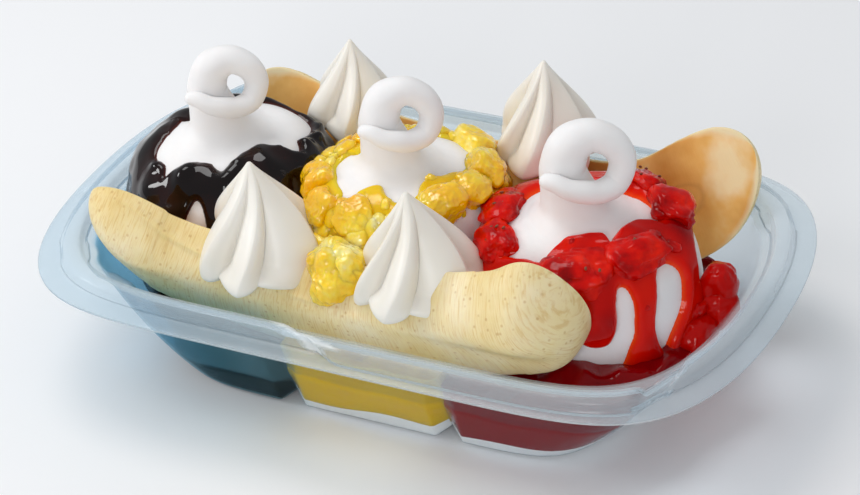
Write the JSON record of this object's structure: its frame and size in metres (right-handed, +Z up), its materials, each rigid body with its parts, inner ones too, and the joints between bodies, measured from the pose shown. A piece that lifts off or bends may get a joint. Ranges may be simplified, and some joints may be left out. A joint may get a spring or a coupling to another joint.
{
  "type": "banana split in a boat dish",
  "caption": "Banana split in a clear plastic boat dish: curled soft serve between banana halves, with chocolate, pineapple and strawberry toppings and cream stars.",
  "frame": {"origin": "middle of the dish's underside, at table level", "axes": "+X along the dish towards the strawberry end, +Y across it to the back, +Z up"},
  "size_m": [0.2164, 0.1344, 0.0888],
  "materials": {
    "dish": "thin thermoformed clear plastic, frosted by cold",
    "ice_cream": "vanilla soft serve, satin",
    "banana": "peeled banana, satin, moist",
    "cream": "whipped cream, satin",
    "chocolate": "chocolate syrup, wet gloss",
    "pineapple": "crushed pineapple in syrup, wet gloss",
    "strawberry": "strawberries in syrup, wet gloss"
  },
  "bodies": {
    "root": {"dish": "dish", "ice_cream_left": "ice_cream", "ice_cream_middle": "ice_cream", "ice_cream_right": "ice_cream", "banana_front": "banana", "banana_back": "banana", "chocolate_sauce": "chocolate", "pineapple_sauce": "pineapple", "strawberry_sauce": "strawberry", "cream_star_front_left": "cream", "cream_star_front_right": "cream", "cream_star_back_left": "cream", "cream_star_back_right": "cream", "pineapple_chunk_1": "pineapple", "pineapple_chunk_2": "pineapple", "pineapple_chunk_3": "pineapple", "pineapple_chunk_4": "pineapple", "pineapple_chunk_5": "pineapple", "pineapple_chunk_6": "pineapple", "pineapple_chunk_7": "pineapple", "pineapple_chunk_8": "pineapple", "pineapple_chunk_9": "pineapple", "strawberry_piece_1": "strawberry", "strawberry_piece_2": "strawberry", "strawberry_piece_3": "strawberry", "strawberry_piece_4": "strawberry", "strawberry_piece_5": "strawberry", "strawberry_piece_6": "strawberry", "strawberry_piece_7": "strawberry"}
  },
  "joints": []
}
